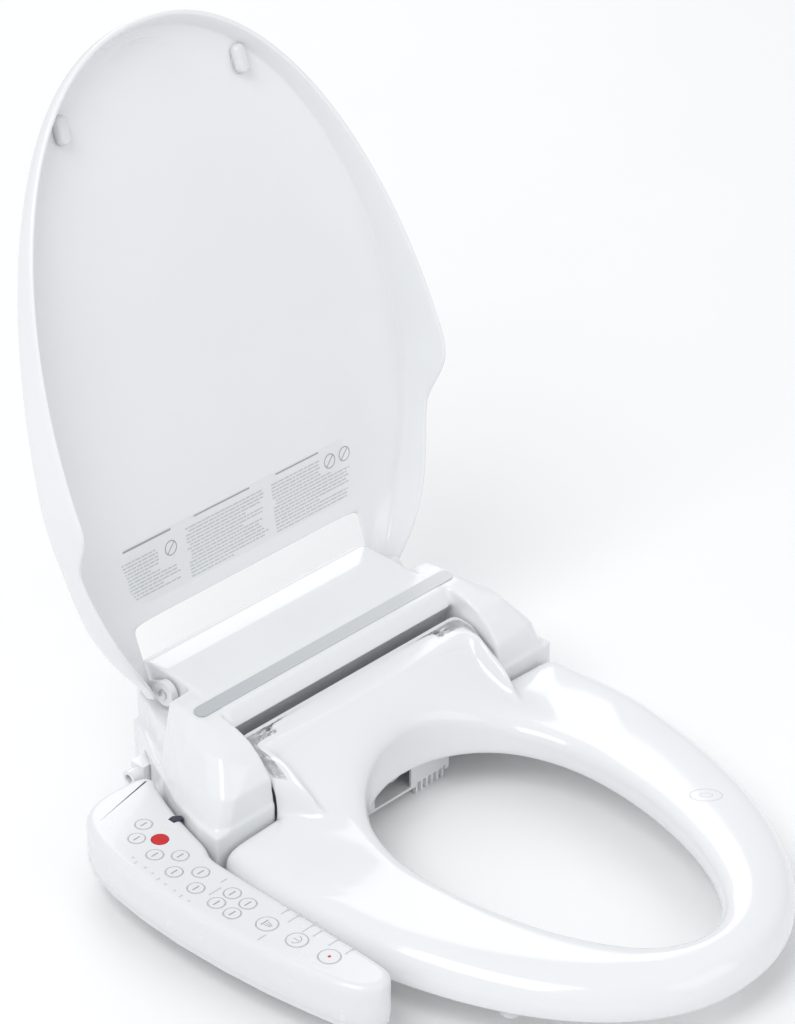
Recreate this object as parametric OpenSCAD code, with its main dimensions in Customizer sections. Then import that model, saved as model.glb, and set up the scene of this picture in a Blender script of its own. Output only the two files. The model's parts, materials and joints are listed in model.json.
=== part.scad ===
// Electric bidet seat with a side control arm.
// Origin: centre of the two bowl bolts on the bowl rim plane. +Z up, front toward -Y, control arm toward -X.
// Rest pose: lid open on its stop, seat down.

/* [Lid] */
// Opening angle of the lid from closed to its stop, degrees
lid_open = 113.6; // [100:0.2:116]
// Lid wall thickness
lid_t = 3; // [2.4:0.1:3.4]
// Distance from the bolt line to the lid's front tip when closed
lid_tip = 488; // [486:1:492]
// Greatest half width of the lid
lid_half_w = 191; // [190:0.5:191]
// Height of the lid's rim above the bowl rim when closed
lid_rim_z = 28.2; // [27.5:0.1:30]

/* [Seat] */
// Distance from the bolt line to the seat's front tip
seat_tip = 476; // [470:1:478]
// Greatest half width of the seat ring
seat_half_w = 187.5; // [184:0.5:188]
// Half width of the opening
open_half_w = 93; // [88:1:96]
// Seat wall thickness
seat_t = 3; // [2.4:0.1:3.4]
// Crown height of the ring above the bowl rim
crown_z = 40; // [38:0.5:41]
// Height of the seat's rear edge
ramp_z = 88; // [86:0.5:88.5]

/* [Hinges] */
// Lid hinge axis, Y
lid_ax_y = -6; // [-6.4:0.1:-5.6]
// Lid hinge axis, Z
lid_ax_z = 91; // [90.6:0.1:91.4]
// Seat hinge axis, Y
seat_ax_y = -92; // [-92.4:0.1:-91.6]
// Seat hinge axis, Z
seat_ax_z = 66; // [65.6:0.1:66.4]
// Radius of the hinge pins
pin_r = 4; // [3:0.1:4.5]
// Radial running clearance of the hinge pins
pin_gap = 0.06; // [0.02:0.01:0.1]

/* [Body] */
// Half width of the raised middle of the body
mid_w = 116; // [115:0.5:116.5]
// Rear face of the body, Y
rear_y = 34; // [34:0.5:36]
// Body wall thickness
wall = 2.5; // [2:0.1:2.8]

/* [Mounting] */
// Distance between the two bowl bolts
bolt_pitch = 140; // [136:1:160]
// Width of the slotted bolt holes
slot_w = 10; // [9:0.5:12]
// Length of the slotted bolt holes
slot_l = 30; // [26:1:36]

/* [Control arm] */
// Top of the control arm
arm_top = 41; // [41:0.5:42]
// Underside of the control arm
arm_bot = 3; // [2:0.5:4]
// Radius of a small key
key_r = 6.6; // [5.5:0.1:6.8]
// Radius of a large key
key_big_r = 8.3; // [7:0.1:8.6]

/* [Hidden] */
$fn = 48;
LH = [0, lid_ax_y, lid_ax_z];
SH = [0, seat_ax_y, seat_ax_z];

// ---------- shared helpers ----------
function mix(a, b, t) = a + (b - a) * t;
function sgn(v) = v < 0 ? -1 : 1;
module opened() { translate(LH) rotate([-lid_open, 0, 0]) translate(-LH) children(); }
module both() { children(); mirror([1, 0, 0]) children(); }
module along_x(x0, x1) { translate([x0, 0, 0]) rotate([90, 0, 90]) linear_extrude(x1 - x0) children(); }
module rod_x(x0, x1, y, z, r) { translate([x0, y, z]) rotate([0, 90, 0]) cylinder(h = x1 - x0, r = r); }
module box(a, b) { translate(a) cube(b - a); }

// ---------- lid ----------
// half width of the lid against distance v in front of its hinge axis
function lid_w(v) = lookup(v, [[-3,130],[4,133],[12,140],[20,145],[35,154],[60,166],[85,174.5],[104,179.5],[125,183.5],[148,188],[169,lid_half_w]]);
// inner surface height and rim height against v
function lid_zi(v) = lookup(v, [[-3,110.5],[12,110.3],[35,109],[51.5,107.5],[64,105.5],[84,100.5],[114,92],[154,82.5],[194,74.5],[244,66.5],[294,60],[344,55],[394,51],[434,48.8],[482,47]]);
function lid_zr(v) = lookup(v, [[-3,98],[8,90],[20,84],[35,78],[60,72],[85,68],[104,65],[118,61],[128,53],[140,40],[150,32],[160,lid_rim_z+0.6],[170,lid_rim_z]]);
lid_rear_v = [51.5, 60, 72, 85, 98, 110, 120, 130, 140, 150, 160, 169];
lid_cap_n = 20;
lid_K = len(lid_rear_v) - 1 + lid_cap_n;
lid_y0 = lid_ax_y - 169;
function lid_O(k) = k < len(lid_rear_v) ? [lid_w(lid_rear_v[k]), lid_ax_y - lid_rear_v[k]]
   : let(a = 90 * (k - len(lid_rear_v) + 1) / lid_cap_n) [k == lid_K ? 0 : lid_half_w * pow(cos(a), 0.92), lid_y0 - (lid_tip + lid_y0) * sin(a)];
function lid_S(k) = k < len(lid_rear_v) ? [0, lid_ax_y - lid_rear_v[k]]
   : let(a = 90 * (k - len(lid_rear_v) + 1) / lid_cap_n) [0, lid_y0 - 0.8 * (lid_tip + lid_y0) * (1 - cos(a))];
// section: [share of the way out, inset from the edge, drop below the top, share of the wall height]
lid_sec = [[0.4,0,0,0],[0.728,0,0,0],[0.86,0,1.4,0],[1,9,3.6,0],[1,3.5,8,0],[1,1,13,0.12],[1,0,18,0.5],[1,0.6,0,1]];
lid_J = len(lid_sec);
function lid_pt(O, S, j, layer, xin = 0) = let(c = lid_sec[j], t = layer * lid_t, d = O - S, L = norm(d), u = d / max(L, 0.001),
     Le = L - c[1] - (c[0] == 1 ? t : 0), r = c[0] == 1 ? Le : c[0] * (L - t),
     p = [S[0] + u[0] * r, S[1] + u[1] * r], v = lid_ax_y - p[1],
     zt = lid_zi(v) + lid_t - t, zr = lid_zr(lid_ax_y - O[1]), z = c[3] == 1 ? zr : max(zr + (1 - c[3]) * 6, zt - c[2])) [p[0], p[1], z];
lid_ear_v = [42, 33, 24, 16, 9, 3, -3];
lid_En = len(lid_ear_v);
function ear_pt(v, j, layer) = let(c = lid_sec[j], t = layer * lid_t, W = lid_w(v), x = c[0] == 1 ? W - c[1] * min(1, (W - t - 118) / 14) - t : 118 + (W - t - 118) * (c[0] - 0.728) / 0.272 * min(1, 0.6 + (W - 130) / 100),
     zt = lid_zi(v) + lid_t - t, zr = lid_zr(v), z = c[3] == 1 ? zr : max(zr + (1 - c[3]) * 6, zt - c[2])) [x, lid_ax_y - v, z];
lid_U = 2 * lid_K + 1;
lid_jn = 1;
lid_eJ = lid_J - lid_jn;
// one layer of points: U by J grid, then the spine, then the left ear, then the right ear
function lid_layer(layer) = concat(
   [for (u = [0:lid_U - 1]) for (j = [0:lid_J - 1]) let(k = min(u, lid_U - 1 - u), s = u <= lid_K ? -1 : 1, p = lid_pt(lid_O(k), lid_S(k), j, layer)) [s * p[0], p[1], p[2]]],
   [for (k = [0:lid_K]) let(S = lid_S(k)) [0, S[1], lid_zi(lid_ax_y - S[1]) + (1 - layer) * lid_t]],
   [for (s = [-1, 1]) for (e = [0:lid_En - 1]) for (j = [lid_jn:lid_J - 1]) let(p = ear_pt(lid_ear_v[e], j, layer)) [s * p[0], p[1], p[2]]]);
lid_NP = lid_U * lid_J + lid_K + 1 + 2 * lid_En * lid_eJ;
// point number: row u from -En to U-1+En, column j from -1 (the spine)
function lid_id(u, j, layer) = layer * lid_NP + (u < 0 ? lid_U * lid_J + lid_K + 1 + (-u - 1) * lid_eJ + j - lid_jn
   : u >= lid_U ? lid_U * lid_J + lid_K + 1 + (lid_En + u - lid_U) * lid_eJ + j - lid_jn
   : j < 0 ? lid_U * lid_J + min(u, lid_U - 1 - u) : u * lid_J + j);
function quad(a, b, c, d, f) = f ? [[a, b, c], [a, c, d]] : [[c, b, a], [d, c, a]];
function flat(l) = [for (a = l) for (b = a) b];
lid_faces = flat(concat(
   [for (u = [0:lid_U - 2]) for (j = [-1:lid_J - 2]) quad(lid_id(u, j, 0), lid_id(u + 1, j, 0), lid_id(u + 1, j + 1, 0), lid_id(u, j + 1, 0), true)],
   [for (u = [0:lid_U - 2]) for (j = [-1:lid_J - 2]) quad(lid_id(u, j, 1), lid_id(u + 1, j, 1), lid_id(u + 1, j + 1, 1), lid_id(u, j + 1, 1), false)],
   [for (u = concat([for (i = [-lid_En:-1]) i], [for (i = [lid_U - 1:lid_U + lid_En - 2]) i])) for (j = [lid_jn:lid_J - 2]) for (w = [0, 1])
       quad(lid_id(u, j, w), lid_id(u + 1, j, w), lid_id(u + 1, j + 1, w), lid_id(u, j + 1, w), w == 0)],
   [for (u = [-lid_En:lid_U + lid_En - 2]) quad(lid_id(u, lid_J - 1, 0), lid_id(u + 1, lid_J - 1, 0), lid_id(u + 1, lid_J - 1, 1), lid_id(u, lid_J - 1, 1), true)],
   [for (j = [-1:lid_jn - 1]) quad(lid_id(0, j, 0), lid_id(0, j + 1, 0), lid_id(0, j + 1, 1), lid_id(0, j, 1), true)],
   [for (j = [-1:lid_jn - 1]) quad(lid_id(lid_U - 1, j, 0), lid_id(lid_U - 1, j + 1, 0), lid_id(lid_U - 1, j + 1, 1), lid_id(lid_U - 1, j, 1), false)],
   [for (j = [lid_jn:lid_J - 2]) quad(lid_id(-lid_En, j, 0), lid_id(-lid_En, j + 1, 0), lid_id(-lid_En, j + 1, 1), lid_id(-lid_En, j, 1), true)],
   [for (j = [lid_jn:lid_J - 2]) quad(lid_id(lid_U + lid_En - 1, j, 0), lid_id(lid_U + lid_En - 1, j + 1, 0), lid_id(lid_U + lid_En - 1, j + 1, 1), lid_id(lid_U + lid_En - 1, j, 1), false)],
   [for (u = [-lid_En:-1]) quad(lid_id(u, lid_jn, 0), lid_id(u + 1, lid_jn, 0), lid_id(u + 1, lid_jn, 1), lid_id(u, lid_jn, 1), false)],
   [for (u = [lid_U - 1:lid_U + lid_En - 2]) quad(lid_id(u, lid_jn, 0), lid_id(u + 1, lid_jn, 0), lid_id(u + 1, lid_jn, 1), lid_id(u, lid_jn, 1), false)]));
module lid() color("white") opened() polyhedron(points = concat(lid_layer(0), lid_layer(1)), faces = lid_faces, convexity = 6);
// soft stops inside the lid's front
module lid_bumpers() color("gainsboro") opened() both() hull() for (y = [-426, -438]) translate([88, y, 37.4]) cylinder(h = 6.1, r = 5.5, $fn = 32);
// bearing blocks under the lid's ears
module lid_hinge_bushes() color("whitesmoke") opened() both() difference() {
    union() { rod_x(118.4, 124.5, lid_ax_y, lid_ax_z, 10); box([118.4, lid_ax_y - 9, lid_ax_z], [121, lid_ax_y + 4, 107]); }
    rod_x(117, 131, lid_ax_y, lid_ax_z, pin_r + pin_gap);
}
module lid_hinge_pins() color("silver") both() rod_x(mid_w - 4.4, 126, lid_ax_y, lid_ax_z, pin_r);

// ---------- seat ----------
function seat_zm(y) = lookup(-y, [[76,ramp_z],[84,86.5],[100,80],[112,74.5],[123,69.5],[136,63.5],[150,57.3],[165,52],[180,47.8],[200,44],[225,crown_z+1.6],[260,crown_z+0.4],[300,crown_z],[430,crown_z-1.2]]);
function seat_side(y) = lookup(-y, [[76,0],[88,2],[100,6],[112,11],[123,16],[136,16],[150,13.5],[165,9.5],[180,6],[200,2.5],[222,0]]);
function seat_c(x, y) = let(t = abs(x) / 120) seat_zm(y) - seat_side(y) * (t <= 1 ? pow(t, 2.2) : 1 + 0.35 * (t - 1));
function seat_w(y) = lookup(-y, [[125,180],[150,184.5],[175,seat_half_w]]);
// outer outline: half of it, from the middle of the rear to the front tip
seat_rear = [[0,-76],[40,-76],[80,-76],[112,-76],[118,-77],[119.4,-82],[119.4,-96],[119.4,-110],[119.6,-122],[121.5,-125.4],[140,-125.6],[165,-125.8],[176,-126.4],[180,-131],[182.5,-140],[184.5,-150],[186.2,-162]];
seat_Rn = len(seat_rear);
seat_cap_n = 18;
seat_K = seat_Rn - 1 + seat_cap_n + 1;
function seat_O(k) = k < seat_Rn ? seat_rear[k] : let(a = 90 * (k - seat_Rn) / seat_cap_n) [k == seat_K ? 0 : seat_half_w * pow(cos(a), 0.92), -175 - (seat_tip - 175) * sin(a)];
// opening outline, matched to the outer one
seat_hin = [0, 12, 24, 34, 38, 41, 45, 49, 53, 56, 60.5, 66, 70, 74, 78, 82.5, 87];
function seat_ha(k) = k < seat_Rn ? seat_hin[k] : 91.5 + (180 - 91.5) * pow((k - seat_Rn) / seat_cap_n, 1.0);
function seat_I(k) = let(a = seat_ha(k), c = cos(a)) [k == seat_K ? 0 : open_half_w * sin(a) * (1 + 0.2 * c + 0.07 * c * c), -285 + 149 * c];
// section, from the opening's lower lip over the crown to the outer lower edge: [share, distance from the inner edge, distance from the outer edge, drop, height if fixed]
seat_sec = [[-1,1.5,0,0,17],[-1,0,0,0,22],[-1,1.6,0,0,-9.5],[-1,6.5,0,0,-4],[-1,14,0,0,-1.2],[0.42,0,0,0,0],[0.62,0,0,0,0],[2,0,26,0,-1],[2,0,14.5,0,-4],[2,0,7,0,-8.5],[2,0,2.2,0,-15],[2,0,0,0,-22],[2,0,1.5,0,8]];
seat_J = len(seat_sec);
function seat_low(O) = lookup(-O[1], [[76,74],[98,71.4],[104,66],[122,55],[123.9,54],[124.5,8]]);
function seat_z(c, p, zf, O, t) = c[4] > 0 ? (c[0] == 2 ? seat_low(O) : c[4]) : let(zc = seat_c(p[0], p[1]) + c[4]) max(zc, (c[0] == 2 ? seat_low(O) + 2.5 : 26)) - t;
function seat_pt(k, j, layer) = let(O = seat_O(k), I = seat_I(k), c = seat_sec[j], t = layer * seat_t, d = O - I, L = norm(d), u = d / L,
    a = c[1] + t, b = L - c[2] - t, sc = min(1, L / 62),
    r = c[0] == -1 ? c[1] * sc + t : c[0] == 2 ? L - c[2] * sc - t : mix(14 * sc + t, L - 26 * sc - t, c[0] == 0.42 ? 0.34 : 0.67),
    p = I + u * r) [p[0], p[1], seat_z(c, p, 0, O, t)];
seat_U = 2 * seat_K;
function seat_layer(layer) = [for (u = [0:seat_U - 1]) for (j = [0:seat_J - 1]) let(k = u <= seat_K ? u : seat_U - u, s = u <= seat_K ? 1 : -1, p = seat_pt(k, j, layer)) [s * p[0], p[1], p[2]]];
function seat_id(u, j, w) = w * seat_U * seat_J + (u % seat_U) * seat_J + j;
seat_faces = flat(concat(
   [for (u = [0:seat_U - 1]) for (j = [0:seat_J - 2]) for (w = [0, 1]) quad(seat_id(u, j, w), seat_id(u + 1, j, w), seat_id(u + 1, j + 1, w), seat_id(u, j + 1, w), w == 1)],
   [for (u = [0:seat_U - 1]) for (j = [0, seat_J - 1]) quad(seat_id(u, j, 0), seat_id(u + 1, j, 0), seat_id(u + 1, j, 1), seat_id(u, j, 1), j == 0)]));
module seat_top_shell() color("white") polyhedron(points = concat(seat_layer(0), seat_layer(1)), faces = seat_faces, convexity = 8);
function seat_ring(off_o, off_i) = [for (u = [0:seat_U - 1]) let(k = u <= seat_K ? u : seat_U - u, s = u <= seat_K ? 1 : -1, O = seat_O(k), I = seat_I(k), d = (O - I) / norm(O - I), p = O - d * off_o) [s * p[0], p[1]]];
function seat_hole(off_i) = [for (u = [0:seat_U - 1]) let(k = u <= seat_K ? u : seat_U - u, s = u <= seat_K ? 1 : -1, O = seat_O(k), I = seat_I(k), d = (O - I) / norm(O - I), p = I + d * off_i) [s * p[0], p[1]]];
module seat_bottom_plate() color("whitesmoke") {
    difference() { translate([0, 0, 17.5]) linear_extrude(2.5) difference() { polygon(seat_ring(6.5, 0)); polygon(seat_hole(6.5)); square(1); }
        both() box([107.5, -125, 10], [130, -70, 30]);
        box([-24, -124, 10], [24, -70, 30]); }
    both() difference() {
        union() { box([100, -100, 19.9], [106, -84, 66]); rod_x(100, 106, seat_ax_y, seat_ax_z, 7.6); rod_x(105.9, 112, seat_ax_y, seat_ax_z, 6.2); }
        rod_x(98, 117, seat_ax_y, seat_ax_z, pin_r + pin_gap);
    }
}
// heater film under the crown
heat_pts = [for (w = [0, 1]) for (u = [0:seat_U - 1]) for (j = [5, 6]) let(k = u <= seat_K ? u : seat_U - u, s = u <= seat_K ? 1 : -1, p = seat_pt(k, j, 1)) [s * p[0], p[1], p[2] - 0.4 - w * 0.5]];
function heat_id(u, j, w) = w * seat_U * 2 + (u % seat_U) * 2 + j;
heat_faces = flat([for (u = [0:seat_U - 1]) concat(quad(heat_id(u, 0, 0), heat_id(u + 1, 0, 0), heat_id(u + 1, 1, 0), heat_id(u, 1, 0), false), quad(heat_id(u, 0, 1), heat_id(u + 1, 0, 1), heat_id(u + 1, 1, 1), heat_id(u, 1, 1), true),
    quad(heat_id(u, 0, 0), heat_id(u + 1, 0, 0), heat_id(u + 1, 0, 1), heat_id(u, 0, 1), true), quad(heat_id(u, 1, 0), heat_id(u + 1, 1, 0), heat_id(u + 1, 1, 1), heat_id(u, 1, 1), false))]);
module seat_heater() color("darkorange") polyhedron(points = heat_pts, faces = heat_faces, convexity = 6);
module seat_bumpers() color("lightgray") both() for (p = [[131.5, -368], [140, -240]]) translate([p[0], p[1], 0]) { cylinder(h = 12, r = 8); translate([0, 0, 12]) cylinder(h = 5.5, r = 6); }
module seat_hinge_pins() color("silver") both() rod_x(101, 127.5, seat_ax_y, seat_ax_z, pin_r);

// ---------- body ----------
// side profile of the raised middle, w = inset
function arc(c, r, a0, a1, n) = [for (i = [0:n]) [c[0] + r * cos(mix(a0, a1, i / n)), c[1] + r * sin(mix(a0, a1, i / n))]];
module mid_profile(w, zb) polygon(concat([[-74 + w, zb]], [[-74 + w, 43.5 - w * 0.8]], arc([seat_ax_y, seat_ax_z], 29 + w, w * 0.6 - 50, 50, 10),
    [[-71 + w, 93 - w * 0.4], [-66 + w, 100.5 - w], [-42, 103 - w], [0, 105 - w], [20 - w * 0.3, 104.2 - w], [29 - w * 0.7, 100 - w * 0.7], [rear_y - w, 88], [rear_y - w, zb]]));
flank = [[181,-123.4],[179,-100],[173,-78],[165,-56],[155,-34],[144,-12],[133,8],[124,24],[121,rear_y]];
module flank_plan(w) polygon(concat([[mid_w - 2 + (w > 0 ? 2 : 0), rear_y - w], [mid_w - 2 + (w > 0 ? 2 : 0), -60 + w], [121.5 + w, -60 + w], [121.5 + w, -123.4 + w]], [for (p = flank) [p[0] - w - 0, max(-123.4 + w, min(rear_y - w, p[1]))]]));
// upper part of a hinge arm, w = inset
function nose(w, dz) = [[-27 - w, 46], [-27 - w, 101.4 - w - dz], [-42, 102.8 - w - dz], [-66, 100.4 - w - dz], [-85, 97 - w - dz], [-98 + w * 0.6, 92 - w * 0.8 - dz], [-109 + w * 0.8, 83 - w * 0.5 - dz], [-117 + w, 71 - dz * 0.7], [-121.5 + w, 46]];
module upper_arm(w) hull() {
    along_x(121.5 + w, 122.5 + w) polygon(nose(w, 0));
    along_x(136 - w, 137 - w) polygon(nose(w, 0.6));
    translate([0, 0, 44]) linear_extrude(0.5) polygon([[121.5 + w, -27 - w], [150 - w, -27 - w], [160 - w, -45], [168 - w, -62], [174.5 - w, -84], [177.5 - w, -104], [177 - w, -117], [170 - w, -122.4 + w], [121.5 + w, -122.4 + w]]);
    translate([0, 0, 69 - w * 0.8]) linear_extrude(0.5) polygon([[121.5 + w, -27 - w], [143 - w, -27 - w], [154.5 - w, -45], [161.5 - w, -62], [167 - w, -84], [169 - w * 1.3, -104 + w * 0.3], [166 - w * 1.2, -115 + w * 0.8], [158 - w, -119.4 + w * 1.2], [121.5 + w, -119.4 + w * 1.2]]);
    translate([0, 0, 90 - w * 1.4]) linear_extrude(0.5) polygon([[121.5 + w, -27 - w], [138 - w, -27 - w], [147 - w, -45], [153 - w, -62], [155 - w * 1.2, -84 + w * 0.4], [151 - w, -98 + w * 1.2], [121.5 + w, -99 + w * 1.2]]);
}
module rear_shoulder(w) translate([0, 0, 44]) linear_extrude(30 - w) polygon([[mid_w - 2 + (w > 0 ? 2.2 : 0), rear_y - 4 - w], [mid_w - 2 + (w > 0 ? 2.2 : 0), -30 + w], [124, -30 + w], [124, -30 - w], [143 - w, -30 - w], [134 - w, -8], [124 - w, 12], [118 - w * 0.4, rear_y - 4 - w]]);
module flank_solid(w, zb) translate([0, 0, zb]) linear_extrude(48 - w - zb) flank_plan(w);
// ports in the shell
module cover_ports() {
    both() rod_x(mid_w - 8, mid_w + 1.5, lid_ax_y, lid_ax_z, pin_r + 0.05);
    both() rod_x(120, 126, seat_ax_y, seat_ax_z, pin_r + 0.05);
    box([150, -95.5, 11.5], [190, -66.5, 40.5]);
    box([130, -30.5, 12.5], [170, -17.5, 25.5]);
    rod_x(111, 150, 8, 26, 10.1);
    box([-150, -6.2, 15.5], [-125, 9.2, 35.5]);
    both() box([113.2, -57.5, 1], [116.4, 31.5, 45.4]);
    box([-106, 28, 1], [106, 36, 10.5]);
    box([-43.5, -78, 0], [63.5, -68, 14]);
    box([-18, -78, 13], [18, -60, 34]);
    box([-190, -85, 4.5], [-150, -59, 8.2]);
}
module body_top_cover() color("white") difference() {
    union() { along_x(-mid_w, mid_w) mid_profile(0, 2); both() { flank_solid(0, 2); rear_shoulder(0); upper_arm(0); } }
    along_x(-mid_w + wall, mid_w - wall) mid_profile(wall, 1);
    both() { flank_solid(wall, 1); rear_shoulder(wall); upper_arm(wall); }
    cover_ports();
}
strip_a = atan2(2.5, 24);
module accent_strip() color("silver") translate([0, -48, 102.375]) rotate([strip_a, 0, 0]) translate([0, -13, 0.02]) { box([-130, 0, 0], [130, 12, 0.7]); both() translate([130, 6, 0]) cylinder(h = 0.7, r = 6); }
module body_base() color("whitesmoke") difference() {
    union() {
        box([-113, -60, 14], [113, 31, 16.5]);
        both() { box([104, -60, 2.5], [113, 31, 14.1]);
            translate([0, 0, 2.5]) linear_extrude(2.5) polygon([[112.9, 31], [112.9, -57], [124.6, -57], [124.6, -120], [176, -120], [175.5, -100], [170, -78], [162, -56], [152, -34], [141, -12], [130, 8], [120.5, 24], [117, 31]]); }
        both() for (y = [-52, 22]) translate([107, y, 16]) cylinder(h = 72, r = 4.5);
    }
    both() for (y = [-52, 22]) translate([107, y, 60]) cylinder(h = 40, r = 1.4);
    both() box([bolt_pitch / 2 - 18, -16, 13], [bolt_pitch / 2 + 18, 16, 15.2]);
    box([-34, -61, 13], [46, -26, 18]);
}
// housing that carries the nozzle port and hangs just inside the bowl
module nozzle_housing() color("whitesmoke") difference() {
    union() { box([-42, -125, -12], [62, -62, 13]); box([-42, -66, 12.9], [-34, -60, 16.5]); box([60, -66, 12.9], [68, -60, 16.5]); }
    box([-40, -123, -10], [60, -60, 11.2]);
    box([-20, -127, -9.6], [20, -122, 9.5]);
    box([-16, -118, 10], [16, -60, 14]);
    box([-40, -70, 11], [60, -60, 14]);
    box([26, -126, -13], [58, -119, -8.4]);
}
// air duct from the fan down into the housing
module dryer_duct() color("dimgray") difference() {
    box([47, -69, -9.5], [59.5, -60, 42]);
    box([48.5, -67.5, -8], [58, -61.5, 40.5]);
    box([48.5, -62, 19], [58, -59, 40.5]);
    box([48.5, -70, -8], [58, -67, 8]);
}
module dryer_grille() color("white") { for (i = [0:5]) box([26.4 + i * 5.8, -123.8, -19.5], [28.2 + i * 5.8, -119.4, -10.1]); box([26.4, -123.8, -10.2], [57.2, -119.4, -8.6]); box([26.4, -120.6, -19.5], [57.2, -119.4, -10.1]); }

// ---------- control arm ----------
arm_outer = [[-160,-19],[-185,-15],[-205,-17],[-222,-26],[-234,-46],[-241,-75],[-245,-110],[-246,-150],[-244,-195],[-240,-235],[-234,-272],[-229,-298],[-222,-312],[-211,-319],[-201,-318],[-194,-311],[-192,-298],[-191.8,-250],[-191.8,-200],[-191.8,-150],[-190.5,-128],[-185,-116],[-181.5,-104],[-177.5,-88],[-170,-62],[-160,-36],[-155.5,-27]];
function arm_c(p) = [-214, max(-300, min(-40, p[1]))];
function arm_in(w) = [for (p = arm_outer) let(c = arm_c(p), d = norm(c - p)) p + (c - p) * (w / d)];
keys = [[-204,-87,key_r],[-200,-65,key_r],[-215,-74,key_r],[-219,-98,key_r],[-207,-112,key_r],[-223,-123,key_r],[-210,-137,key_r],[-225,-148,key_r],[-211,-171,key_r],[-226.4,-171,key_r],[-211.5,-187.6,key_r],[-226.8,-187.6,key_r],[-218,-214,key_big_r],[-216,-242,key_big_r],[-213,-271,key_big_r]];
lens_pts = [[-232,-89],[-234,-104],[-235,-113],[-237,-129],[-237.5,-139],[-238.5,-155]];
module panel_cover() color("white") difference() {
    union() { translate([0, 0, arm_bot + 5]) linear_extrude(arm_top - 1.5 - arm_bot - 5) polygon(arm_outer); translate([0, 0, arm_top - 1.6]) linear_extrude(1.6) polygon(arm_in(1.5)); }
    translate([0, 0, arm_bot]) linear_extrude(arm_top - 3 - arm_bot) polygon(arm_in(3));
    for (k = keys) translate([k[0], k[1], arm_top - 5]) cylinder(h = 8, r = k[2] + 0.25);
    for (p = lens_pts) translate([p[0], p[1], arm_top - 5]) cylinder(h = 8, r = 1.1);
    translate([-178.5, -76.5, arm_top - 5]) linear_extrude(8) polygon([[-5, -3.2], [4, -4.2], [5, 0], [0, 4], [-5, 3.4]]);
}
module panel_base() color("whitesmoke") {
    difference() {
        union() { translate([0, 0, arm_bot]) linear_extrude(4.7) polygon(arm_in(0.4)); translate([0, 0, arm_bot + 4.6]) linear_extrude(2) polygon(arm_in(3.4)); }
        translate([0, 0, arm_bot + 2.5]) linear_extrude(6) polygon(arm_in(6));
    }
    for (y = [-60, -130, -200, -262]) translate([-232 + (y == -262 ? 6 : 0) + (y == -60 ? 2 : 0), y, arm_bot + 2.4]) cylinder(h = 22.6, r = 2.6);
    for (y = [-130, -200, -262]) translate([-198.2, y, arm_bot + 2.4]) cylinder(h = 22.6, r = 2.6);
    // tongue that ties the arm to the body's floor
    box([-181, -84, 5], [-150, -60, 7.6]);
}
module panel_pcb() color("darkgreen") { translate([0, 0, arm_bot + 25]) linear_extrude(1.6) polygon([[-190, -40], [-222, -44], [-236, -80], [-240, -150], [-236, -220], [-229, -280], [-212, -300], [-196, -296], [-196, -128], [-186, -100], [-182, -60]]);
    for (k = keys) translate([k[0] - 3, k[1] - 3, arm_bot + 26.6]) cube([6, 6, 3]); }
module ir_window() color("black") translate([-178.5, -76.5, arm_top - 3]) linear_extrude(3.1) polygon([[-4.8, -3], [3.8, -4], [4.7, 0], [0, 3.7], [-4.8, 3.2]]);
module status_lenses() color("ivory") for (p = lens_pts) translate([p[0], p[1], arm_top - 3]) cylinder(h = 3.15, r = 1);
module key(i) { k = keys[i]; color(i == 0 ? "red" : "white") translate([k[0], k[1], 0]) { translate([0, 0, arm_top - 4.6]) cylinder(h = 4.75, r = k[2]); translate([0, 0, arm_bot + 30.3]) cylinder(h = arm_top - 4.5 - arm_bot - 30.3, r = 2.2); } }
module key_power() key(0);
module key_night() key(1);
module key_eco() key(2);
module key_seat_temp() key(3);
module key_water_temp() key(4);
module key_air_temp() key(5);
module key_pressure() key(6);
module key_position() key(7);
module key_plus() key(8);
module key_minus() key(9);
module key_forward() key(10);
module key_back() key(11);
module key_rear_wash() key(12);
module key_front_wash() key(13);
module key_stop() key(14);

// ---------- mounting ----------
module slot(l, w) hull() for (s = [-1, 1]) translate([s * (l - w) / 2, 0]) circle(w / 2);
module mounting_plate() color("gainsboro") difference() {
    union() { box([-98, -30, 0], [98, 28, 4]); both() box([98, -30, 0], [103.4, 28, 2.2]); both() box([26, 16, 3.9], [44, 24, 9]); }
    both() translate([bolt_pitch / 2, 0, -1]) { for (s = [-1, 1]) translate([s * (slot_l - slot_w) / 2, 0, 0]) cylinder(h = 8, r = slot_w / 2); translate([-(slot_l - slot_w) / 2, -slot_w / 2, 0]) cube([slot_l - slot_w, slot_w, 8]); }
}
module release_button() color("lightgray") { box([139, -30, 13], [153.6, -18, 25]); box([130, -27, 16], [139.1, -21, 22]); }

// ---------- water path ----------
module water_tank() color("lightblue") { difference() { box([-98, -40, 16.5], [-42, 26, 68]); box([-95.5, -37.5, 19], [-44.5, 23.5, 65.5]); translate([-58, -7, 64]) cylinder(h = 6, r = 5); } translate([-58, -7, 18.9]) cylinder(h = 45, r = 2.92); translate([-58, -7, 42]) cylinder(h = 2, r = 4.5); for (x = [-93, -46]) for (y = [-35, 20]) translate([x, y, 67.9]) cylinder(h = 4.1, r = 3); }
module tank_heater() color("silver") { rod_x(-95.4, -50, -22, 32, 5); rod_x(-95.4, -50, 8, 32, 5); }
module tank_float() color("orange") difference() { translate([-58, -7, 44]) cylinder(h = 12, r = 9); translate([-58, -7, 43]) cylinder(h = 14, r = 3); }
module inlet_fitting() color("silver") difference() { union() { rod_x(142, 156, 8, 26, 10.4775); rod_x(118, 142.1, 8, 26, 9.5); rod_x(105, 118.1, 8, 26, 7.5); } rod_x(104, 146, 8, 26, 4.5); rod_x(145.9, 157, 8, 26, 8.2); }
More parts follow.
